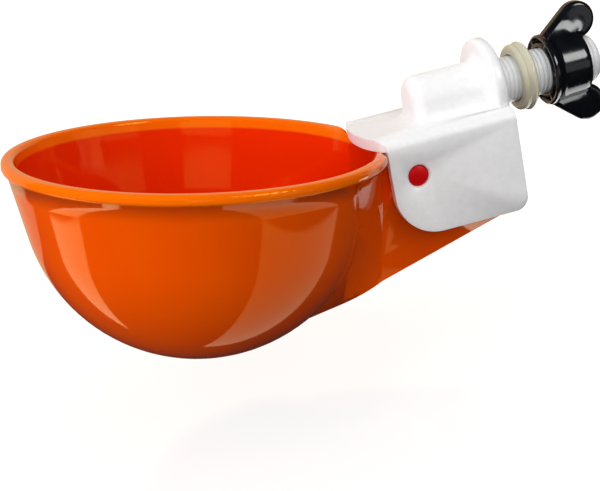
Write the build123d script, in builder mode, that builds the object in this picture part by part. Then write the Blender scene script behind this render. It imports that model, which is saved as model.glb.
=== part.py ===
"""Automatic drinking cup for poultry: a pivoted bowl on a threaded valve body.

Millimetres, +Z up.  The origin is the centre of the flange's rear face, which
seats on the wall of the water pipe or bucket.  +X runs along the threaded stem,
away from the bowl, and the whole cup is symmetrical about the XZ plane.
The bowl is drawn in its own frame: origin at the centre of its rim, z up its
axis and x towards the arm.  It stands raised, as it does while it is empty.
"""
from build123d import *
from math import cos, pi, radians, sin, sqrt, tan
import os

os.makedirs("parts", exist_ok=True)

# Bowl
rim_radius = 40.0
bowl_depth = 43.9
bowl_draft = 14.3
bowl_wall = 2.1
lip_height = 2.3
lip_overhang = 0.93
lip_round = 0.9
lip_end_gap = 0.95
lip_end_round = 3.0

# Arm behind the bowl: a trough that narrows to run between the cheeks
pivot_gap = 4.45
pivot_drop = 5.57
rest_tilt = 11.2
arm_tail = 19.95
arm_side_gap = 1.45
arm_wall = 1.8
arm_floor = 2.0
arm_slope = 25.3
arm_rise = 1.0
arm_root = 14.3
flare_reach = 18.15
flare_lean = 2.2
flare_end_reach = 6.85
flare_middle = 0.566
flare_step = 0.3
shoulder_share = 0.3
waist_share = 0.55
waist_flare = 6.0
foot_taper = 5.3
hub_radius = 4.4
hub_inside = 2.6
hub_gap = 0.2

# Seal pad on its shelf, behind the pivot
seal_offset = 8.8
seal_radius = 3.4
seal_thickness = 2.2
seal_sunk = 1.0
seal_fit = 0.05
seal_gap_closed = 0.15
shelf_thickness = 2.4
shelf_margin = 0.9

# Valve body
pin_behind_wall = 23.5
pin_below_axis = 11.95
cheek_half = 13.45
cheek_thickness = 2.0
cheek_front = 5.9
cheek_rear_gap = 0.4
cheek_drop_front = 12.9
cheek_drop_rear = 13.3
cheek_front_radius = 9.5
cheek_rear_radius = 3.0
plate_top = 2.98
plate_thickness = 2.4
plate_front = 9.0
plate_bow = 1.7
plate_corner = 3.0
plate_lip_round = 0.9
edge_round = 2.6
barrel_radius = 6.05
barrel_front = 19.3
barrel_nose_round = 2.6
barrel_foot_round = 1.7
flange_radius = 10.47
flange_thickness = 2.85
flange_round = 0.9
flange_fillet = 2.0
stem_diameter = 10.4
stem_length = 24.5
stem_chamfer = 0.8
inlet_radius = 3.0
inlet_end = 2.6
outlet_radius = 1.5
nozzle_base_radius = 3.6
nozzle_tip_radius = 2.6
nozzle_drop = 2.6

# Hinge pin
pin_diameter = 4.6
pin_recess = 0.5
pin_chamfer = 0.35
pin_fit = 0.03
pin_running_gap = 0.06
pin_hole_chamfer = 0.45

# Lifting spring between the shelf and the plate
spring_radius = 2.3
spring_wire = 0.5
spring_turns = 5
spring_offset = 15.2
spring_peg_gap = 0.4
spring_peg_height = 1.3
spring_end_gap = 0.25

# Sealing washer and wing nut on the stem
washer_radius = 7.6
washer_front_radius = 7.3
washer_thickness = 3.2
washer_place = 5.3
washer_fit = 0.15
washer_groove = 0.3
washer_round = 0.9
nut_place = 12.4
nut_length = 9.0
nut_front_radius = 7.8
nut_rear_radius = 7.1
nut_fit = 0.1
nut_collar = 1.6
nut_collar_groove = 0.35
nut_core_depth = 2.2
nut_core_wall = 0.75
nut_rim_wall = 0.75
nut_core_ribs = 6
nut_rib = 0.8
ear_tip_radius = 4.1
ear_reach = 9.3
ear_sweep = 9.3
ear_root_radius = 3.7
ear_thickness = 3.4
ear_round = 1.1

# Room between the cup and the body while it moves, and how far cuts run past a solid
moving_gap = 0.3
overrun = 5.0

# Places that follow from the sizes above
draft = radians(bowl_draft)
slope = radians(arm_slope)
lean = radians(rest_tilt)
pivot_reach = rim_radius + pivot_gap
pin_x = -pin_behind_wall
pin_z = -pin_below_axis
pin_radius = pin_diameter / 2
stem_radius = stem_diameter / 2
plate_z = -plate_top
plate_under = plate_z - plate_thickness
cheek_inner = cheek_half - cheek_thickness
arm_half = cheek_inner - arm_side_gap
nozzle_tip_z = plate_under - nozzle_drop
cheek_front_x = pin_x - cheek_front

# The bowl's frame, set in the body's frame by the pivot and the resting tilt
cup_x = Vector(cos(lean), 0, -sin(lean))
cup_z = Vector(sin(lean), 0, cos(lean))
cup_origin = Vector(pin_x, 0, pin_z) - cup_x * pivot_reach + cup_z * pivot_drop
cup_side = Plane(origin=cup_origin, x_dir=cup_x, z_dir=(0, -1, 0))
cup_axis = Axis(cup_origin, cup_z)
body_side = Plane.XZ


def cup_section(x):
    """Plane across the bowl's x axis, with Y as its first axis."""
    return Plane(origin=cup_origin + cup_x * x, x_dir=(0, 1, 0), z_dir=cup_x)


def cup_level(x, z):
    """Plane square to the bowl's axis at height z, centred x along the arm."""
    return Plane(origin=cup_origin + cup_x * x + cup_z * z, x_dir=cup_x, z_dir=cup_z)


def stem_plane(x):
    """Plane across the stem, facing the rear."""
    return Plane(origin=(x, 0, 0), x_dir=(0, 1, 0), z_dir=(1, 0, 0))


# The ball under the drafted wall is as large as the rim, the draft and the depth make it
wall_top = rim_radius - lip_overhang - (bowl_depth - lip_height) * tan(draft)
ball_radius = wall_top / (cos(draft) + sin(draft) * tan(draft) - tan(draft))
ball_z = ball_radius - bowl_depth


def wall_radius(z, ball):
    """Radius of the drafted wall that runs up from a ball of the given radius."""
    return ball * cos(draft) + (z - ball_z + ball * sin(draft)) * tan(draft)


def bowl_half(x, z):
    """Half width of the drafted wall's outside at a place on the bowl."""
    return sqrt(wall_radius(z, ball_radius) ** 2 - x ** 2)


# Trough shape: its underside runs on from the ball, its sides sweep in to the cheeks
arm_start = pivot_reach - flare_reach - arm_root
arm_end = pivot_reach + arm_tail
arm_foot_x = ball_radius * sin(slope)
arm_foot_z = ball_z - ball_radius * cos(slope) + arm_rise
flare_front = pivot_reach - flare_reach
flare_back = flare_front + flare_lean
flare_end = pivot_reach - flare_end_reach
shoulder_z = -bowl_depth * shoulder_share
waist_z = -bowl_depth * waist_share


def arm_bottom(x):
    return arm_foot_z + (x - arm_foot_x) * tan(slope)


# Levels of the arm from the rim down: height, where the sweep starts and how wide it is
arm_levels = (
    (-lip_height / 2, flare_front, bowl_half(flare_front, -lip_height / 2) - flare_step),
    (shoulder_z, flare_back, bowl_half(flare_back, shoulder_z) - flare_step),
    (waist_z, flare_back, arm_half + waist_flare),
    (arm_bottom(arm_start) - arm_rise, flare_back, arm_half - foot_taper),
)


def trough(inset, rise):
    """Solid of the arm's sides, moved in by the inset, with its top raised."""
    half = arm_half - inset
    end = arm_end - inset
    sweep_end = flare_end - inset
    with BuildPart(mode=Mode.PRIVATE) as sides:
        for z, sweep_start, sweep_half in arm_levels:
            top = rise if z == arm_levels[0][0] else 0
            x = sweep_start - inset
            y = sweep_half - inset
            mid_x = (x + sweep_end) / 2
            mid_y = half + (y - half) * flare_middle
            with BuildSketch(cup_level(0, z + top)):
                with BuildLine():
                    Line((arm_start, -y), (x, -y))
                    ThreePointArc((x, -y), (mid_x, -mid_y), (sweep_end, -half))
                    Polyline((sweep_end, -half), (end, -half), (end, half), (sweep_end, half))
                    ThreePointArc((sweep_end, half), (mid_x, mid_y), (x, y))
                    Polyline((x, y), (arm_start, y), (arm_start, -y))
                make_face()
        loft(ruled=True)
    return sides.part


# Bowl: a ball with a drafted wall above it
with BuildPart() as bowl_shell:
    with BuildSketch(cup_side):
        with BuildLine():
            wall_edge = (wall_radius(-lip_height / 2, ball_radius), -lip_height / 2)
            tangent = (ball_radius * cos(draft), ball_z - ball_radius * sin(draft))
            Polyline((0, -bowl_depth), (0, -lip_height / 2), wall_edge, tangent)
            RadiusArc(tangent, (0, -bowl_depth), ball_radius)
        make_face()
    revolve(axis=cup_axis)
    with BuildSketch(cup_side):
        with BuildLine():
            Polyline(
                (flare_front, 0),
                (rim_radius + overrun, 0),
                (rim_radius + overrun, -bowl_depth),
                (flare_back, -bowl_depth),
                (flare_back, shoulder_z),
                (flare_front, -lip_height / 2),
                close=True,
            )
        make_face()
    extrude(amount=rim_radius, both=True, mode=Mode.SUBTRACT)

# Hollow of the bowl, with the round of the lip's inner edge in its profile
with BuildPart() as bowl_hollow:
    inner_ball = ball_radius - bowl_wall
    with BuildSketch(cup_side):
        with BuildLine():
            inner_rim = wall_radius(-lip_round, inner_ball)
            inner_edge = (inner_rim + lip_round, 0)
            inner_tangent = (inner_ball * cos(draft), ball_z - inner_ball * sin(draft))
            Polyline((0, ball_z - inner_ball), (0, lip_height), (inner_rim + lip_round, lip_height), inner_edge)
            RadiusArc(inner_edge, (inner_rim, -lip_round), -lip_round)
            Line((inner_rim, -lip_round), inner_tangent)
            RadiusArc(inner_tangent, (0, ball_z - inner_ball), inner_ball)
        make_face()
    revolve(axis=cup_axis)

# Arm: sides that sweep in from the bowl at the top and run straight at the foot
with BuildPart() as arm_shell:
    add(trough(0, 0))
    with BuildSketch(cup_side):
        with BuildLine():
            Polyline(
                (arm_start, 0),
                (arm_start, arm_bottom(arm_start)),
                (arm_end, arm_bottom(arm_end)),
                (arm_end, 0),
                close=True,
            )
        make_face()
    extrude(amount=rim_radius, both=True, mode=Mode.INTERSECT)

# Hollow of the arm, open at the top and into the bowl
with BuildPart() as arm_hollow:
    add(trough(arm_wall, 2 * lip_height))
    with BuildSketch(cup_side):
        with BuildLine():
            Polyline(
                (arm_start, lip_height),
                (arm_start, arm_bottom(arm_start) + arm_floor),
                (arm_end, arm_bottom(arm_end) + arm_floor),
                (arm_end, lip_height),
                close=True,
            )
        make_face()
    extrude(amount=rim_radius, both=True, mode=Mode.INTERSECT)

# Lip: a rounded flange round the rim that stops short of the cheeks
with BuildPart() as lip:
    lip_end = (cheek_front_x - cup_origin.X) / cos(lean) - lip_end_gap
    with BuildSketch(cup_level(0, -lip_height)):
        Circle(rim_radius)
        with Locations((lip_end + rim_radius, 0)):
            Rectangle(2 * rim_radius, 2 * rim_radius, mode=Mode.SUBTRACT)
    extrude(amount=lip_height)
    lip_corners = lip.edges().filter_by(cup_axis)
    fillet(lip_corners, lip_end_round)
    fillet(lip.faces().filter_by(cup_axis).edges(), lip_round)


# Seal and spring sit on a shelf across the arm, drawn where it lies when shut
shelf_top = nozzle_tip_z - pin_z - pivot_drop - seal_gap_closed - seal_thickness + seal_sunk
shelf_under = shelf_top - shelf_thickness
seal_x = pivot_reach + seal_offset
spring_x = pivot_reach + spring_offset
shelf_start = seal_x - seal_radius - seal_fit - shelf_margin
spring_peg_radius = spring_radius - spring_wire / 2 - spring_peg_gap
pin_bore_radius = pin_radius + pin_running_gap

with BuildPart() as cup:
    add(bowl_shell.part)
    add(arm_shell.part)
    add(lip.part)
    add(bowl_hollow.part, mode=Mode.SUBTRACT)
    add(arm_hollow.part, mode=Mode.SUBTRACT)
    # Shelf between the side walls
    with BuildSketch(cup_level(0, shelf_under)):
        with Locations(((shelf_start + arm_end - arm_wall / 2) / 2, 0)):
            Rectangle(arm_end - arm_wall / 2 - shelf_start, 2 * arm_half - arm_wall)
    extrude(amount=shelf_thickness)
    # Pocket for the seal and a peg for the spring
    with BuildSketch(cup_level(seal_x, shelf_top)):
        Circle(seal_radius + seal_fit)
    extrude(amount=-seal_sunk, mode=Mode.SUBTRACT)
    with BuildSketch(cup_level(spring_x, shelf_top - shelf_thickness / 2)):
        Circle(spring_peg_radius)
    extrude(amount=shelf_thickness / 2 + spring_peg_height)
    # Hubs round the pin, inside and outside each side wall
    for side in (1, -1):
        hub_plane = Plane(
            origin=(pin_x, side * (arm_half - arm_wall - hub_inside), pin_z),
            x_dir=(1, 0, 0),
            z_dir=(0, side, 0),
        )
        with BuildSketch(hub_plane):
            Circle(hub_radius)
        extrude(amount=cheek_inner - hub_gap - arm_half + arm_wall + hub_inside)
    with BuildSketch(Plane(origin=(pin_x, 0, pin_z), x_dir=(1, 0, 0), z_dir=(0, 1, 0))):
        Circle(pin_bore_radius)
    extrude(amount=cheek_inner, both=True, mode=Mode.SUBTRACT)
    # Relief that lets the arm pass under the plate in every position
    with BuildSketch(body_side):
        with BuildLine():
            relief_z = plate_under - moving_gap
            tail_x = pin_x + arm_tail + overrun
            Polyline(
                (pin_x - plate_front - moving_gap, plate_z),
                (pin_x - plate_front + plate_bow, relief_z),
                (pin_x, relief_z),
                (tail_x, relief_z - (tail_x - pin_x) * tan(lean)),
                (tail_x, plate_z),
                close=True,
            )
        make_face()
    extrude(amount=cheek_inner + 1, both=True, mode=Mode.SUBTRACT)

# Barrel over the water way, with straight sides down to the plate
with BuildPart() as barrel:
    with BuildSketch(stem_plane(-barrel_front)):
        with BuildLine():
            Line((-barrel_radius, plate_z - 1), (-barrel_radius, 0))
            RadiusArc((-barrel_radius, 0), (barrel_radius, 0), barrel_radius)
            Polyline((barrel_radius, 0), (barrel_radius, plate_z - 1), (-barrel_radius, plate_z - 1))
        make_face()
    extrude(amount=barrel_front - flange_thickness / 2)
    nose = barrel.faces().sort_by(Axis.X)[0].edges().sort_by(Axis.Z)[1:]
    fillet(nose, barrel_nose_round)

# Valve body: an inverted channel with a lip in front, a barrel on top and a stem
with BuildPart() as valve_body:
    with BuildSketch(body_side) as cheek:
        with BuildLine():
            Polyline(
                (cheek_front_x, plate_z),
                (cheek_front_x, pin_z - cheek_drop_front),
                (-cheek_rear_gap, pin_z - cheek_drop_rear),
                (-cheek_rear_gap, plate_z),
                close=True,
            )
        make_face()
        fillet(cheek.vertices().sort_by(Axis.Y)[:2].sort_by(Axis.X)[0], cheek_front_radius)
        fillet(cheek.vertices().sort_by(Axis.Y)[0], cheek_rear_radius)
    extrude(amount=cheek_half, both=True)
    with BuildSketch(Plane.XY.offset(plate_z)):
        with BuildLine():
            lip_x = pin_x - plate_front
            corner_x = lip_x + plate_bow
            flat_half = cheek_half - plate_corner
            side_x = corner_x + plate_corner
            ThreePointArc((corner_x, -flat_half), (lip_x, 0), (corner_x, flat_half))
            RadiusArc((corner_x, flat_half), (side_x, cheek_half), plate_corner)
            Polyline((side_x, cheek_half), (pin_x, cheek_half), (pin_x, -cheek_half), (side_x, -cheek_half))
            RadiusArc((side_x, -cheek_half), (corner_x, -flat_half), plate_corner)
        make_face()
    extrude(amount=-plate_thickness)
    # Round both long upper edges, the lip's with them
    with BuildSketch(stem_plane(lip_x - 1)) as section:
        with BuildLine():
            Polyline(
                (-cheek_half, plate_z),
                (cheek_half, plate_z),
                (cheek_half, -cheek_drop_rear * 3),
                (-cheek_half, -cheek_drop_rear * 3),
                close=True,
            )
        make_face()
        fillet(section.vertices().sort_by(Axis.Y)[-2:], edge_round)
    extrude(amount=-lip_x + 2, mode=Mode.INTERSECT)
    # Room for the arm between the cheeks
    with BuildSketch(stem_plane(lip_x - 1)) as room:
        with BuildLine():
            Polyline(
                (-cheek_inner, plate_under),
                (cheek_inner, plate_under),
                (cheek_inner, -cheek_drop_rear * 3),
                (-cheek_inner, -cheek_drop_rear * 3),
                close=True,
            )
        make_face()
        fillet(room.vertices().sort_by(Axis.Y)[-2:], moving_gap)
    extrude(amount=-lip_x + 2, mode=Mode.SUBTRACT)
    # Flange, with a fillet in front that runs out on the barrel
    with BuildSketch(body_side) as disc:
        with BuildLine():
            Polyline(
                (-flange_thickness - flange_fillet, 0),
                (-flange_thickness - flange_fillet, barrel_radius),
            )
            RadiusArc(
                (-flange_thickness - flange_fillet, barrel_radius),
                (-flange_thickness, barrel_radius + flange_fillet),
                -flange_fillet,
            )
            Polyline(
                (-flange_thickness, barrel_radius + flange_fillet),
                (-flange_thickness, flange_radius - flange_round),
            )
            RadiusArc(
                (-flange_thickness, flange_radius - flange_round),
                (-flange_thickness + flange_round, flange_radius),
                flange_round,
            )
            Polyline(
                (-flange_thickness + flange_round, flange_radius),
                (-flange_round / 2, flange_radius),
                (0, flange_radius - flange_round / 2),
                (0, 0),
                (-flange_thickness - flange_fillet, 0),
            )
        make_face()
    revolve(axis=Axis.X)
    # Barrel, with a round foot on the plate
    add(barrel.part)
    foot_edges = [
        edge
        for edge in valve_body.edges()
        if abs(edge.bounding_box().min.Z - plate_z) < 0.01
        and abs(edge.bounding_box().max.Z - plate_z) < 0.01
        and edge.bounding_box().min.X > -barrel_front - 0.1
        and edge.bounding_box().max.X < -flange_thickness
        and abs(edge.center().Y) < barrel_radius + 0.1
    ]
    fillet(foot_edges, barrel_foot_round)
    # Threaded stem, drawn at its full diameter
    with BuildSketch(stem_plane(0)):
        Circle(stem_radius)
    extrude(amount=stem_length)
    chamfer(valve_body.faces().sort_by(Axis.X)[-1].edges(), stem_chamfer)
    # Nozzle under the plate
    with Locations((pin_x + seal_offset, 0, plate_under)):
        Cone(
            nozzle_tip_radius,
            nozzle_base_radius,
            nozzle_drop,
            align=(Align.CENTER, Align.CENTER, Align.MAX),
        )
    # Holes for the hinge pin
    with BuildSketch(Plane(origin=(pin_x, 0, pin_z), x_dir=(1, 0, 0), z_dir=(0, 1, 0))):
        Circle(pin_radius + pin_fit)
    extrude(amount=cheek_half + 1, both=True, mode=Mode.SUBTRACT)
    hole_edges = [
        edge
        for edge in valve_body.edges().filter_by(GeomType.CIRCLE)
        if abs(abs(edge.center().Y) - cheek_half) < 0.01 and abs(edge.radius - pin_radius - pin_fit) < 0.01
    ]
    chamfer(hole_edges, pin_hole_chamfer)
    # Water way: in through the stem, down through the nozzle
    with BuildSketch(stem_plane(-barrel_front + inlet_end)):
        Circle(inlet_radius)
    extrude(amount=barrel_front - inlet_end + stem_length, mode=Mode.SUBTRACT)
    with BuildSketch(Plane.XY.offset(nozzle_tip_z)):
        with Locations((pin_x + seal_offset, 0)):
            Circle(outlet_radius)
    extrude(amount=-nozzle_tip_z, mode=Mode.SUBTRACT)

# Hinge pin through both cheeks and the arm
with BuildPart() as hinge_pin:
    pin_half = cheek_half - pin_recess
    with BuildSketch(Plane(origin=(pin_x, 0, pin_z), x_dir=(1, 0, 0), z_dir=(0, 1, 0))):
        Circle(pin_radius)
    extrude(amount=pin_half, both=True)
    chamfer(hinge_pin.faces().filter_by(Axis.Y).edges(), pin_chamfer)

# Rubber pad that shuts the nozzle when the bowl is full
with BuildPart() as valve_seal:
    with BuildSketch(cup_level(seal_x, shelf_top - seal_sunk)):
        Circle(seal_radius)
    extrude(amount=seal_thickness)
    chamfer(valve_seal.faces().sort_by(cup_axis)[-1].edges(), seal_thickness / 8)

# Coil that lifts the empty bowl, between the shelf and the underside of the plate
spring_foot = cup_origin + cup_x * spring_x + cup_z * shelf_top
spring_way = (cup_z + Vector(0, 0, 1)).normalized()
spring_room = (plate_under - spring_foot.Z) / spring_way.Z
spring_inset = spring_end_gap + spring_wire / 2
spring_height = spring_room - 2 * spring_inset
with BuildPart() as lift_spring:
    coil_plane = Plane(origin=spring_foot + spring_way * spring_inset, x_dir=(0, 1, 0), z_dir=spring_way)
    with BuildLine(coil_plane):
        coil = Helix(spring_height / spring_turns, spring_height, spring_radius)
    with BuildSketch(Plane(origin=coil @ 0, z_dir=coil % 0)):
        Circle(spring_wire / 2)
    sweep()

# Sealing washer on the stem, with a shallow groove round its edge
with BuildPart() as sealing_washer:
    washer_end = washer_place + washer_thickness
    washer_mid = washer_place + washer_thickness / 2
    washer_hole = stem_radius + washer_fit
    with BuildSketch(body_side):
        with BuildLine():
            Line((washer_place, washer_hole), (washer_place, washer_front_radius - washer_round))
            RadiusArc(
                (washer_place, washer_front_radius - washer_round),
                (washer_place + washer_round, washer_front_radius),
                washer_round,
            )
            ThreePointArc(
                (washer_place + washer_round, washer_front_radius),
                (washer_mid, washer_front_radius - washer_groove),
                (washer_end - washer_round, washer_radius),
            )
            RadiusArc(
                (washer_end - washer_round, washer_radius),
                (washer_end, washer_radius - washer_round),
                washer_round,
            )
            Polyline(
                (washer_end, washer_radius - washer_round),
                (washer_end, washer_hole),
                (washer_place, washer_hole),
            )
        make_face()
    revolve(axis=Axis.X)

# Wing nut: a barrel with a collar and pockets in front, and two swept ears
with BuildPart() as wing_nut:
    nut_hole = stem_radius + nut_fit
    nut_end = nut_place + nut_length
    core_radius = nut_hole + nut_core_wall
    pocket_radius = nut_front_radius - nut_rim_wall
    for side in (1, -1):
        with BuildSketch(body_side) as ear:
            with Locations((nut_place + ear_sweep, side * ear_reach)):
                Circle(ear_tip_radius)
            with Locations((nut_place + ear_root_radius, side * stem_radius)):
                Circle(ear_root_radius)
            make_hull()
        extrude(amount=ear_thickness / 2, both=True)
    fillet(wing_nut.faces().filter_by(Axis.Y).edges(), ear_round)
    with BuildSketch(body_side):
        with BuildLine():
            Polyline(
                (nut_place, 0),
                (nut_place, nut_front_radius - nut_collar_groove),
                (nut_place + nut_collar_groove, nut_front_radius),
                (nut_place + nut_collar, nut_front_radius),
                (nut_place + nut_collar, nut_front_radius - nut_collar_groove),
                (nut_end - nut_collar_groove, nut_rear_radius),
                (nut_end, nut_rear_radius - nut_collar_groove),
                (nut_end, 0),
                close=True,
            )
        make_face()
    revolve(axis=Axis.X)
    with BuildSketch(stem_plane(nut_place)):
        Circle(pocket_radius)
        Circle(core_radius, mode=Mode.SUBTRACT)
        with PolarLocations((pocket_radius + core_radius) / 2, nut_core_ribs):
            Rectangle(2 * (pocket_radius - core_radius), nut_rib, mode=Mode.SUBTRACT)
    extrude(amount=nut_core_depth, mode=Mode.SUBTRACT)
    with BuildSketch(stem_plane(nut_place)):
        Circle(nut_hole)
    extrude(amount=ear_sweep + ear_tip_radius, mode=Mode.SUBTRACT)

cup.part.label = "cup"
valve_body.part.label = "valve_body"
hinge_pin.part.label = "hinge_pin"
valve_seal.part.label = "valve_seal"
lift_spring.part.label = "lift_spring"
sealing_washer.part.label = "sealing_washer"
wing_nut.part.label = "wing_nut"

export_step(cup.part, "parts/cup.step")
export_step(valve_body.part, "parts/valve_body.step")
export_step(hinge_pin.part, "parts/hinge_pin.step")
export_step(valve_seal.part, "parts/valve_seal.step")
export_step(lift_spring.part, "parts/lift_spring.step")
export_step(sealing_washer.part, "parts/sealing_washer.step")
export_step(wing_nut.part, "parts/wing_nut.step")

for piece in (cup, valve_body, hinge_pin, valve_seal, lift_spring, sealing_washer, wing_nut):
    print(piece.part.label, round(piece.part.volume, 1), piece.part.is_valid)
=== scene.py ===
# %% [markdown]
# # A drinking cup for poultry, dressed for a studio photograph
#
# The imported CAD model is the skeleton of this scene: it fixes where each piece sits and how it moves.
# The steps below set a camera and a white studio round it, mix one finish for each material, put a
# smoothly shaded copy of each piece in its place, and wind the screw thread that the CAD model leaves out.

from math import cos, hypot, pi, radians, sin

import bmesh
import bpy
from mathutils import Matrix, Vector


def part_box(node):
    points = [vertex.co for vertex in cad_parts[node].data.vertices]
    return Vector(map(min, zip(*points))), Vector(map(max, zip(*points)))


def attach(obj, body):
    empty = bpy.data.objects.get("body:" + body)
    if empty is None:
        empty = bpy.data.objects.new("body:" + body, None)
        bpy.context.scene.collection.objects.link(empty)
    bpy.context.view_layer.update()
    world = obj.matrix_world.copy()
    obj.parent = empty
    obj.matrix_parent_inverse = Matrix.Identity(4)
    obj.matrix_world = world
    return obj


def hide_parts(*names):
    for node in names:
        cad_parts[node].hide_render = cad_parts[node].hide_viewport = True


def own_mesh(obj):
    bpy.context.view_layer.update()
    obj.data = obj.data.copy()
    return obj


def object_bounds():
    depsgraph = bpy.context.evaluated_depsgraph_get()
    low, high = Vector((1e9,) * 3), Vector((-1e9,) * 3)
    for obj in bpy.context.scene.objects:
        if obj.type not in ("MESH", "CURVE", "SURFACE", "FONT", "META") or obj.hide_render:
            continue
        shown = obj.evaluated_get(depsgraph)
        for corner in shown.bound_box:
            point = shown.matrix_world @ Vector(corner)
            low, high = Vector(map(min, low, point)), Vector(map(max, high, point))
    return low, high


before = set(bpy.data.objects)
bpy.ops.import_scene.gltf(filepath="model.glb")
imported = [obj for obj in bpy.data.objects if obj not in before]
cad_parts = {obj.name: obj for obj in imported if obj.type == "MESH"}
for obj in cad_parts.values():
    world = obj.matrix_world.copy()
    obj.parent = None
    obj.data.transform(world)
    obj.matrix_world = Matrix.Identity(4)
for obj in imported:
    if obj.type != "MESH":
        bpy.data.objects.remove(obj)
cad_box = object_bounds()
mm = 0.001
print("pieces in the frame:", sorted(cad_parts))
print("CAD box:", cad_box)

# %% [markdown]
# ## Camera
#
# The camera that fits the photograph has a short telephoto lens. It stands a little to the left of the
# stem's side view and above it, and leans over so that the level stem climbs to the right. The lens, the
# place and the lean come from fitting the bowl's rim, the cheek and the pin to the picture.

# %% Camera
lens_width = 36.0
lens_length = 78.0
camera_place = Vector((-100.81, -262.50, 65.93)) * mm
camera_turn = radians(11.23)
camera_dip = radians(18.62)
camera_lean = radians(-11.86)

forward = Vector((sin(camera_turn) * cos(camera_dip), cos(camera_turn) * cos(camera_dip), -sin(camera_dip)))
level_right = Vector((cos(camera_turn), -sin(camera_turn), 0))
level_up = level_right.cross(forward)
right = level_right * cos(camera_lean) + level_up * sin(camera_lean)
up = right.cross(forward)

camera_data = bpy.data.cameras.new("photo_camera")
camera_data.lens = lens_length
camera_data.sensor_width = lens_width
camera_data.sensor_fit = "HORIZONTAL"
camera = bpy.data.objects.new("photo_camera", camera_data)
bpy.context.scene.collection.objects.link(camera)
axes = Matrix((right, up, -forward)).transposed().to_4x4()
camera.matrix_world = Matrix.Translation(camera_place) @ axes
bpy.context.scene.camera = camera
bpy.context.scene.view_settings.view_transform = "Standard"
print("camera at", [round(v, 4) for v in camera_place], "up", [round(v, 3) for v in up])

# %% [markdown]
# ## Colours and nodes
#
# Colours are written as they would be picked from a screen, and one function turns them to the linear
# values that a shader works with. A second small function adds a node, sets it and links it.

# %% Colour and node helpers
def colour(code, strength=1.0):
    """Linear RGBA from an sRGB hex code."""
    parts = [int(code[i : i + 2], 16) / 255 for i in (1, 3, 5)]
    linear = [c / 12.92 if c <= 0.04045 else ((c + 0.055) / 1.055) ** 2.4 for c in parts]
    return (*[c * strength for c in linear], 1.0)


def node(tree, kind, links=(), **settings):
    """Adds a node; settings name its properties or its input sockets, links its input sockets."""
    made = tree.nodes.new(kind)
    for key, value in settings.items():
        if hasattr(made, key):
            setattr(made, key, value)
    for key, value in settings.items():
        if not hasattr(made, key):
            made.inputs[key.replace("_", " ")].default_value = value
    for socket, source in dict(links).items():
        tree.links.new(source, made.inputs[socket])
    return made


def finish_material(name):
    """An empty material, and its tree, Principled shader and Object coordinates."""
    material = bpy.data.materials.new(name)
    material.use_nodes = True
    tree = material.node_tree
    tree.nodes.clear()
    shader = node(tree, "ShaderNodeBsdfPrincipled")
    node(tree, "ShaderNodeOutputMaterial", {"Surface": shader.outputs[0]})
    place = node(tree, "ShaderNodeTexCoord").outputs["Object"]
    return material, tree, shader, place


print("helpers ready: orange in linear values is", [round(c, 3) for c in colour("#F25600")[:3]])

# %% [markdown]
# ## Floor
#
# A product shot stands on a white sweep. A brighter lamp would burn out the pale plastic, so the floor
# itself glows, and only for what looks at it: the camera, a mirror or a clear piece. It glows less under
# the cup, a painted shade round it, which also leaves room for the real soft shadow and a faint mirror
# image. The bowl's lowest point comes down by 8.7 mm when the bowl tips, so the floor lies 9 mm below it.

# %% Who looks
def looked_at(tree):
    """1 for rays that look at a surface, from the camera, a mirror or a clear piece, and 0 for light."""
    rays = node(tree, "ShaderNodeLightPath").outputs
    either = node(
        tree, "ShaderNodeMath", {0: rays["Is Camera Ray"], 1: rays["Is Glossy Ray"]}, operation="MAXIMUM"
    )
    any_look = node(
        tree, "ShaderNodeMath", {0: either.outputs[0], 1: rays["Is Transmission Ray"]}, operation="MAXIMUM"
    )
    return any_look.outputs[0]


# %% Floor
tipping_room = 9 * mm
floor_level = cad_box[0][2] - tipping_room
reach = 3.0
square = ((-1, -1), (1, -1), (1, 1), (-1, 1))
floor_mesh = bpy.data.meshes.new("floor")
floor_mesh.from_pydata([(x * reach, y * reach, floor_level) for x, y in square], [], [(0, 1, 2, 3)])
floor = bpy.data.objects.new("floor", floor_mesh)
bpy.context.scene.collection.objects.link(floor)
floor_finish, tree, shader, place = finish_material("white_sweep")
shader.inputs["Base Color"].default_value = colour("#6E6E6E")
shader.inputs["Roughness"].default_value = 0.12
shader.inputs["IOR"].default_value = 1.6
shader.inputs["Emission Color"].default_value = colour("#FFFFFF")
rim_radius = 40 * mm
under_the_bowl = (cad_box[0][0] + rim_radius, 0, floor_level)
off_centre = node(tree, "ShaderNodeVectorMath", {0: place}, operation="DISTANCE")
off_centre.inputs[1].default_value = under_the_bowl
# painted shade: the floor's glow drops near the spot under the bowl, which darkens the floor there and also
# lets its real shadow show
painted_shade_glow = 0.83
painted_shade_within = 0.03
full_from = 0.16
painted_shade_fade = node(
    tree,
    "ShaderNodeMapRange",
    {"Value": off_centre.outputs["Value"]},
    From_Min=painted_shade_within,
    From_Max=full_from,
    To_Min=painted_shade_glow,
    To_Max=1.0,
)
glow = node(tree, "ShaderNodeMath", {0: looked_at(tree), 1: painted_shade_fade.outputs[0]}, operation="MULTIPLY")
tree.links.new(glow.outputs[0], shader.inputs["Emission Strength"])
floor_mesh.materials.append(floor_finish)
print("floor", round((cad_box[0][2] - floor_level) / mm, 1), "mm under the bowl")

# %% [markdown]
# ## World and lamps
#
# The world looks white and lights the cup with about half of that, so that no side is black. Five soft
# boxes do the rest. Most of the light comes from the left and from low down, and so the bowl falls off
# to a deeper tone at its lower right. The lamps leave no image of themselves in the gloss.

# %% World
world = bpy.data.worlds.new("studio")
bpy.context.scene.world = world
world.use_nodes = True
tree = world.node_tree
tree.nodes.clear()
strength = node(tree, "ShaderNodeMapRange", {"Value": looked_at(tree)}, To_Min=0.52, To_Max=1.0)
sky = node(tree, "ShaderNodeBackground", {"Strength": strength.outputs[0]}, Color=colour("#FFFFFF"))
node(tree, "ShaderNodeOutputWorld", {"Surface": sky.outputs[0]})
print("world lights at", strength.inputs["To Min"].default_value)


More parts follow.
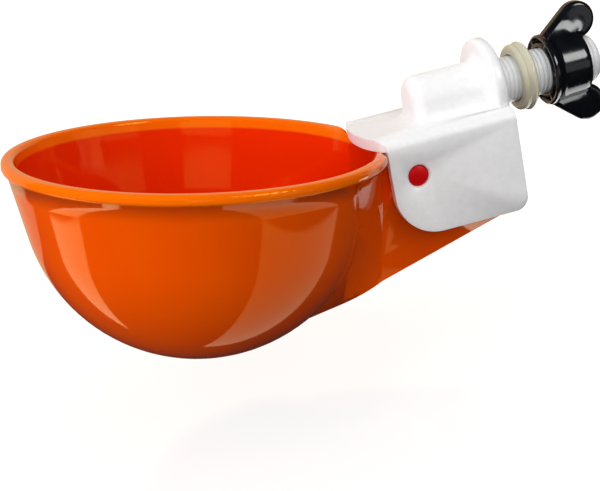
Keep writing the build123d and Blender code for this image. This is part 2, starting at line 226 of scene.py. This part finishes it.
# %% Lamps
def softbox(name, place, target, width, height, power):
    """A rectangular lamp that faces a point and leaves no image of itself in the gloss."""
    data = bpy.data.lights.new(name, "AREA")
    data.shape = "RECTANGLE"
    data.size = width
    data.size_y = height
    data.energy = power
    lamp = bpy.data.objects.new(name, data)
    bpy.context.scene.collection.objects.link(lamp)
    lamp.location = place
    lamp.rotation_euler = (Vector(target) - Vector(place)).to_track_quat("-Z", "Y").to_euler()
    lamp.visible_glossy = False
    return lamp


middle = Vector((-30, 0, -10)) * mm


def toward(azimuth, elevation, distance):
    """A place seen from the bowl: azimuth 0 is -Y, 90 is +X, and elevation is above the level."""
    a, e = radians(azimuth), radians(elevation)
    return middle + Vector((sin(a) * cos(e), -cos(a) * cos(e), sin(e))) * distance


lamps = (
    ("left_lamp", -75, 5, 2.5),
    ("high_left_lamp", -75, 40, 1.3),
    ("front_lamp", -16, 18, 1.45),
    ("high_right_lamp", 25, 40, 0.6),
    ("top_lamp", 0, 85, 0.62),
)
lamp_distance = 0.75
lamp_side = 0.35
for name, azimuth, elevation, power in lamps:
    softbox(name, toward(azimuth, elevation, lamp_distance), middle, lamp_side, lamp_side, power)
    print(name, "at azimuth", azimuth, "elevation", elevation, "with", power, "W")

# %% [markdown]
# ## What the gloss shows
#
# The pale, sharp-edged patches in the plastic are images of soft lamps and windows in a dark room. So
# the gloss gets a room of its own: a dark dome, which neither the camera nor the light meets, and inside
# it one bright card for each patch. A card that shows low on the bowl lies just under the floor, which
# reflections don't see, and one that shows inside the bowl or on the nut stands a good way off. The cards
# are placed for the photograph's view. From other sides they show as plain bright shapes with hard edges.

# %% Dark room and cards
def reflection_only(obj):
    """The object shows in reflections alone and isn't part of the cup."""
    obj.visible_camera = False
    obj.visible_diffuse = False
    obj.visible_shadow = False
    obj.visible_transmission = False
    obj.visible_volume_scatter = False


def glow_material(name, code, strength):
    """A surface that shines evenly, for a card."""
    material = bpy.data.materials.new(name)
    material.use_nodes = True
    tree = material.node_tree
    tree.nodes.clear()
    shine = node(tree, "ShaderNodeEmission", Color=colour(code), Strength=strength)
    node(tree, "ShaderNodeOutputMaterial", {"Surface": shine.outputs[0]})
    return material


def card(name, corners, strength, code):
    """A bright card through the given corners, in metres."""
    mesh = bpy.data.meshes.new(name)
    mesh.from_pydata([tuple(c) for c in corners], [], [tuple(range(len(corners)))])
    mesh.materials.append(glow_material(name + "_glow", code, strength))
    made = bpy.data.objects.new(name, mesh)
    bpy.context.scene.collection.objects.link(made)
    reflection_only(made)
    return made


bpy.ops.mesh.primitive_uv_sphere_add(segments=48, ring_count=24, radius=1.4)
dome = bpy.context.object
dome.name = "dark_room"
dome.data.materials.append(glow_material("dark_cloth", "#2A2A2C", 1.0))
reflection_only(dome)
floor.visible_glossy = False

under_floor = 0.4 * mm
table_level = floor_level - under_floor
floor_cards = (
    ("left_table_card", ((-106, -6), (-213, -15), (-227, 52)), 2.6, "#FFDDB0"),
    ("nut_table_card", ((22, -12), (60, -12), (75, 80), (22, 80)), 3.5, "#FFFFFF"),
    ("right_table_card", ((-43, -77), (2, -26), (-79, -14)), 1.2, "#FFDCBE"),
)
for name, corners, strength, code in floor_cards:
    card(name, [Vector((x * mm, y * mm, table_level)) for x, y in corners], strength, code)
standing_cards = (
    ("right_window", ((60.6, 2.7), (30.4, 10.2), (22.9, -12), (56.4, -12)), 0.6, 0.6, "#FFFFFF"),
    ("left_window", ((-0.2, 17.3), (-36.5, 23.0), (-31.0, 0), (-1.0, 0)), 0.6, 0.8, "#FFFFFF"),
    ("nut_window", ((29, 17), (54, 17), (54, 38), (29, 38)), 0.6, 10.0, "#FFFFFF"),
    ("back_wall", ((120, 30), (-120, 30), (-120, -12), (120, -12)), 0.9, 0.75, "#FFDCB4"),
)
for name, corners, distance, strength, code in standing_cards:
    card(name, [toward(azimuth, elevation, distance) for azimuth, elevation in corners], strength, code)
print("reflection cards:", [row[0] for row in floor_cards + standing_cards])

# %% [markdown]
# ## Finishes: shared helpers
#
# No real surface has one flat colour. Three helpers give each finish its small variation: clouds drift a
# value over the piece, grain raises a fine skin, and two_tone mixes two colours. All of them are laid out
# in Object coordinates, so the pattern stays with the piece when it moves.

# %% Variation helpers
def clouds(tree, place, scale, low, high):
    """A value that drifts between two numbers over the piece; scale is in clouds per metre."""
    noise = node(tree, "ShaderNodeTexNoise", {"Vector": place}, Scale=scale, Detail=3.0)
    drift = node(
        tree,
        "ShaderNodeMapRange",
        {"Value": noise.outputs["Fac"]},
        From_Min=0.3,
        From_Max=0.7,
        To_Min=low,
        To_Max=high,
    )
    return drift.outputs[0]


def grain(tree, place, shader, scale, depth):
    """A fine skin of bumps; depth is in metres."""
    noise = node(tree, "ShaderNodeTexNoise", {"Vector": place}, Scale=scale, Detail=2.0)
    bump = node(tree, "ShaderNodeBump", {"Height": noise.outputs["Fac"]}, Strength=1.0, Distance=depth)
    tree.links.new(bump.outputs[0], shader.inputs["Normal"])


def two_tone(tree, shader, share, first, second):
    """Base colour that runs from one colour to another with a value."""
    ramp = node(tree, "ShaderNodeMix", {0: share}, data_type="RGBA")
    ramp.inputs[6].default_value = colour(first)
    ramp.inputs[7].default_value = colour(second)
    tree.links.new(ramp.outputs[2], shader.inputs["Base Color"])
    return ramp.outputs[2]


print("variation helpers ready")

# %% [markdown]
# ## Moulded orange plastic
#
# The bowl is taken for injection-moulded polypropylene, polished in the mould. A real one has a single
# pigment. The three tones here are set by place, redder inside, yellower outside and lightest on the lip.
# They stand for the bounced light and the haze in the photograph, and so does the yellow tint of the
# gloss. Faint clouds stand for flow in the mould.

# %% Orange polypropylene
lean = radians(11.2)
rim_centre = Vector((-66.0, 0, 2.15)) * mm
bowl_up = Vector((sin(lean), 0, cos(lean)))
ball_below_rim = 7.3 * mm
ball_centre = rim_centre - ball_below_rim * bowl_up
orange, tree, shader, place = finish_material("orange_polypropylene")
from_centre = node(tree, "ShaderNodeVectorMath", {0: place}, operation="SUBTRACT")
from_centre.inputs[1].default_value = ball_centre
normal = node(tree, "ShaderNodeTexCoord").outputs["Normal"]
# painted bounced light and shade: redder where the wall faces the ball's centre, on the inside; painted
# haze: yellower where it faces out
outward = node(tree, "ShaderNodeVectorMath", {0: from_centre.outputs[0], 1: normal}, operation="DOT_PRODUCT")
skin = node(tree, "ShaderNodeMapRange", {"Value": outward.outputs["Value"]}, From_Min=0, From_Max=24 * mm)
pigment = clouds(tree, place, 60.0, 0.8, 1.0)
share = node(tree, "ShaderNodeMath", {0: skin.outputs[0], 1: pigment}, operation="MULTIPLY")
painted_wall_tone = two_tone(tree, shader, share.outputs[0], "#EC2C00", "#F25600")
below_rim = node(tree, "ShaderNodeVectorMath", {0: place}, operation="SUBTRACT")
below_rim.inputs[1].default_value = rim_centre
height = node(tree, "ShaderNodeVectorMath", {0: below_rim.outputs[0]}, operation="DOT_PRODUCT")
height.inputs[1].default_value = bowl_up
lip_starts = -2.6 * mm
lip_full = -2.1 * mm
lip = node(
    tree, "ShaderNodeMapRange", {"Value": height.outputs["Value"]}, From_Min=lip_starts, From_Max=lip_full
)
# painted light: the lip band is lighter, for the light that falls on its upward face
with_painted_lip_light = node(tree, "ShaderNodeMix", {0: lip.outputs[0], 6: painted_wall_tone}, data_type="RGBA")
with_painted_lip_light.inputs[7].default_value = colour("#F96C03")
tree.links.new(with_painted_lip_light.outputs[2], shader.inputs["Base Color"])
tree.links.new(clouds(tree, place, 90.0, 0.05, 0.09), shader.inputs["Roughness"])
shader.inputs["IOR"].default_value = 1.49
# painted haze: the gloss is tinted yellow
shader.inputs["Specular Tint"].default_value = colour("#FFDD60")
print(orange.name, "with the rim's centre at", [round(v / mm, 1) for v in rim_centre], "mm")

# %% [markdown]
# ## White polypropylene
#
# The valve body is taken to come out of an eroded mould with a satin skin, so a fine grain blurs its
# gloss. White plastic lets light in a little way, which softens the grooves of the thread.

# %% White polypropylene
white, tree, shader, place = finish_material("white_polypropylene")
two_tone(tree, shader, clouds(tree, place, 700.0, 0.0, 1.0), "#F4F4F6", "#FBFBFC")
tree.links.new(clouds(tree, place, 500.0, 0.28, 0.38), shader.inputs["Roughness"])
grain(tree, place, shader, 1600.0, 0.006 * mm)
shader.inputs["IOR"].default_value = 1.49
shader.inputs["Subsurface Weight"].default_value = 0.3
shader.inputs["Subsurface Radius"].default_value = (1.0, 1.0, 1.0)
shader.inputs["Subsurface Scale"].default_value = 1.5 * mm

print(white.name)

# %% [markdown]
# ## Red pin
#
# Taken for a plastic rod cut to length. Its end is dull, so it gets little gloss and a strong colour.

# %% Red plastic of the pin
red, tree, shader, place = finish_material("red_pin_plastic")
two_tone(tree, shader, clouds(tree, place, 500.0, 0.0, 1.0), "#C80006", "#D8040A")
tree.links.new(clouds(tree, place, 900.0, 0.3, 0.45), shader.inputs["Roughness"])
shader.inputs["Specular IOR Level"].default_value = 0.12

print(red.name)

# %% [markdown]
# ## Rubber washer
#
# A soft, cloudy rubber with a tinge of olive. Scattering below the skin and a little transmission make
# it glow at its edges, which one opaque colour can't do.

# %% Translucent rubber of the washer
olive, tree, shader, place = finish_material("translucent_rubber")
two_tone(tree, shader, clouds(tree, place, 250.0, 0.0, 1.0), "#D8D3B8", "#E6E2CE")
tree.links.new(clouds(tree, place, 600.0, 0.16, 0.26), shader.inputs["Roughness"])
shader.inputs["Transmission Weight"].default_value = 0.15
shader.inputs["Subsurface Weight"].default_value = 0.6
shader.inputs["Subsurface Radius"].default_value = (1.0, 0.95, 0.6)
shader.inputs["Subsurface Scale"].default_value = 1.2 * mm

print(olive.name)

# %% [markdown]
# ## Black nut
#
# Taken for glossy nylon. On a black piece nearly everything seen is reflection, so the base stays almost
# black and the cards above draw its bands.

# %% Black nylon of the nut
black, tree, shader, place = finish_material("black_nylon")
two_tone(tree, shader, clouds(tree, place, 300.0, 0.0, 1.0), "#08090C", "#10131A")
tree.links.new(clouds(tree, place, 400.0, 0.1, 0.2), shader.inputs["Roughness"])
shader.inputs["IOR"].default_value = 1.53

print(black.name)

# %% [markdown]
# ## Seal and spring
#
# Both sit inside, between the arm and the valve body, where the photograph doesn't show them. So their
# finishes are guesses: dull rubber for the pad and drawn steel for the spring.

# %% Seal rubber
seal_black, tree, shader, place = finish_material("seal_rubber")
two_tone(tree, shader, clouds(tree, place, 400.0, 0.0, 1.0), "#161616", "#202020")
tree.links.new(clouds(tree, place, 800.0, 0.6, 0.8), shader.inputs["Roughness"])

print(seal_black.name)

# %% Spring steel
steel, tree, shader, place = finish_material("spring_steel")
two_tone(tree, shader, clouds(tree, place, 500.0, 0.0, 1.0), "#AEAEB2", "#C6C6CA")
tree.links.new(clouds(tree, place, 900.0, 0.2, 0.32), shader.inputs["Roughness"])
shader.inputs["Metallic"].default_value = 1.0
print(steel.name)

# %% [markdown]
# ## Pieces that keep their CAD shape
#
# Most pieces only need smooth shading and a finish. Their meshes are copied, the doubled points along
# each CAD face are merged, and every edge that turns by more than 30 degrees stays sharp. A fillet turns
# in smaller steps, so the normals of the flat beside it lean with it, by up to 27 degrees on the cheeks.
# That shows there as soft shading which the form doesn't have.

# %% Copy helpers
def clean_copy(node_name):
    """A copy of a CAD node's mesh, merged, smooth, and sharp where it turns by more than 30 degrees."""
    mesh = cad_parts[node_name].data.copy()
    mesh.name = node_name + "_looks"
    work = bmesh.new()
    work.from_mesh(mesh)
    bmesh.ops.remove_doubles(work, verts=work.verts, dist=0.002 * mm)
    bmesh.ops.dissolve_degenerate(work, edges=work.edges, dist=0.001 * mm)
    bmesh.ops.recalc_face_normals(work, faces=work.faces)
    work.to_mesh(mesh)
    work.free()
    mesh.polygons.foreach_set("use_smooth", [True] * len(mesh.polygons))
    mesh.set_sharp_from_angle(angle=radians(30))
    return mesh


def stand_in(name, mesh, material, node_name, body):
    """An object of that mesh, which takes a CAD node's place and rides on its body."""
    mesh.materials.clear()
    mesh.materials.append(material)
    made = bpy.data.objects.new(name, mesh)
    bpy.context.scene.collection.objects.link(made)
    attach(made, body)
    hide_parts(node_name)
    return made


print("copy helpers ready")

# %% Bowl, pin, seal, washer and nut
finishes = {
    "cup": (orange, "bowl", "orange_plastic"),
    "hinge_pin": (red, "body", "red_plastic"),
    "valve_seal": (seal_black, "bowl", "seal_rubber"),
    "sealing_washer": (olive, "washer", "washer_rubber"),
    "wing_nut": (black, "nut", "black_plastic"),
}
for name, (material, body, slot_name) in finishes.items():
    made = stand_in(name + "_looks", clean_copy(name), material, name, body)
    print(made.name, len(made.data.polygons), "faces")

# %% [markdown]
# ## Spring
#
# The spring is clamped between the valve body and the arm. As the bowl tips, the real coils close up
# towards their upper seat by as much as the arm comes up under them. Its copy here rides on the valve
# body with a mesh of its own, and nothing in this script closes its coils.

# %% Spring
spring = stand_in(
    "lift_spring_looks", clean_copy("lift_spring"), steel, "lift_spring", "body"
)
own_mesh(spring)

# %% [markdown]
# ## Threaded stem
#
# The CAD stem is a plain shaft at the thread's nominal crests, 5.2 mm in radius. Here its skin is drawn in
# to 4.6 mm, and Geometry Nodes wind a ridge round it: a trapezoid swept along a helix.

# %% Valve body with a core for the thread
stem_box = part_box("valve_body")
crest_radius = 5.2 * mm
root_radius = 4.6 * mm
pitch = 1.0 * mm
stem_end = stem_box[1][0]

body_mesh = clean_copy("valve_body")
drawn_in = 0
for vertex in body_mesh.vertices:
    radius = hypot(vertex.co.y, vertex.co.z)
    if vertex.co.x > -0.01 * mm and root_radius < radius < crest_radius + 0.05 * mm:
        vertex.co.y *= root_radius / radius
        vertex.co.z *= root_radius / radius
        drawn_in += 1
stand_in("valve_body_looks", body_mesh, white, "valve_body", "body")
print("points drawn in:", drawn_in)

# %% [markdown]
# ## A tree of Geometry Nodes, run once
#
# A tree makes the ridge from four lengths. It runs on an empty object, and its result is copied out as a
# plain mesh, because a live modifier wouldn't be exported.

# %% Geometry Nodes helpers
def geometry_tree(name, **inputs):
    """A tree with named inputs; returns it with its input and output sockets."""
    tree = bpy.data.node_groups.new(name, "GeometryNodeTree")
    tree.interface.new_socket("Geometry", in_out="OUTPUT", socket_type="NodeSocketGeometry")
    for key, kind in inputs.items():
        tree.interface.new_socket(key, in_out="INPUT", socket_type="NodeSocket" + kind)
    return tree, tree.nodes.new("NodeGroupInput").outputs, tree.nodes.new("NodeGroupOutput").inputs


def grow(name, tree, **values):
    """Runs a tree with the given inputs and returns the result as a plain mesh."""
    source = bpy.data.objects.new(name + "_source", bpy.data.meshes.new(name + "_source"))
    bpy.context.scene.collection.objects.link(source)
    modifier = source.modifiers.new("grow", "NODES")
    modifier.node_group = tree
    for item in tree.interface.items_tree:
        if item.in_out == "INPUT":
            modifier[item.identifier] = values[item.name]
    grown = source.evaluated_get(bpy.context.evaluated_depsgraph_get())
    mesh = bpy.data.meshes.new_from_object(grown)
    mesh.name = name
    source.modifiers.remove(modifier)
    bpy.data.objects.remove(source)
    return mesh


def math(tree, operation, a, b):
    """A math node; each value is a number or a socket."""
    made = tree.nodes.new("ShaderNodeMath")
    made.operation = operation
    for socket, value in zip(made.inputs, (a, b)):
        if isinstance(value, (int, float)):
            socket.default_value = value
        else:
            tree.links.new(value, socket)
    return made.outputs[0]


print("tree helpers ready")

# %% [markdown]
# ## The ridge
#
# A spiral curve carries a trapezoid profile from the flange to near the stem's end. Three things in the
# result aren't as a real thread has them. The Curve Spiral node winds left-handed here, although the nut
# moves on its joint as on a right-hand thread. The sweep lays the trapezoid on its side, with its wide
# foot standing out from the stem. So the section is a saw tooth about 0.3 mm deep, its crest reaches
# 5.08 mm instead of the nominal 5.2 mm, and each turn overlaps the next one by 0.2 mm. And the ridge
# ends at its full height, without a run-out.

# %% Path of the ridge
tree, given, result = geometry_tree(
    "helical_thread", Crest="Float", Root="Float", Pitch="Float", Length="Float", Material="Material"
)
turns = math(tree, "DIVIDE", given["Length"], given["Pitch"])
height = math(tree, "SUBTRACT", given["Crest"], given["Root"])
path = node(
    tree,
    "GeometryNodeCurveSpiral",
    {
        "Rotations": turns,
        "Start Radius": given["Root"],
        "End Radius": given["Root"],
        "Height": given["Length"],
    },
    Resolution=40,
)
upright = node(tree, "GeometryNodeSetCurveNormal", {"Curve": path.outputs[0]}, mode="Z_UP")
print("path nodes:", len(tree.nodes))

# %% Profile swept along the path
wide_share = 0.96
narrow_share = 0.3
profile = node(
    tree,
    "GeometryNodeCurvePrimitiveQuadrilateral",
    {
        "Bottom Width": math(tree, "MULTIPLY", given["Pitch"], wide_share),
        "Top Width": math(tree, "MULTIPLY", given["Pitch"], narrow_share),
        "Height": math(tree, "MULTIPLY", height, 2.0),
    },
    mode="TRAPEZOID",
    Offset=0.0,
)
ridge = node(
    tree,
    "GeometryNodeCurveToMesh",
    {"Curve": upright.outputs[0], "Profile Curve": profile.outputs[0]},
    Fill_Caps=True,
)
level = node(tree, "GeometryNodeTransform", {"Geometry": ridge.outputs[0]}, Rotation=(0, pi / 2, 0))
plain = node(tree, "GeometryNodeRealizeInstances", {"Geometry": level.outputs[0]})
finished = node(
    tree, "GeometryNodeSetMaterial", {"Geometry": plain.outputs[0], "Material": given["Material"]}
)
tree.links.new(finished.outputs[0], result["Geometry"])

print("tree nodes:", len(tree.nodes))

# %% Grow the thread
short_of_end = 0.8 * mm
thread_mesh = grow(
    "stem_thread",
    tree,
    Crest=crest_radius,
    Root=root_radius,
    Pitch=pitch,
    Length=stem_end - short_of_end,
    Material=white,
)
work = bmesh.new()
work.from_mesh(thread_mesh)
bmesh.ops.recalc_face_normals(work, faces=work.faces)
work.to_mesh(thread_mesh)
work.free()
thread = bpy.data.objects.new("stem_thread", thread_mesh)
bpy.context.scene.collection.objects.link(thread)
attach(thread, "body")
radii = [hypot(v.co.y, v.co.z) / mm for v in thread_mesh.vertices]
first_x = min(v.co.x for v in thread_mesh.vertices) / mm
print("thread radii", round(min(radii), 2), round(max(radii), 2), "from", round(first_x, 2))
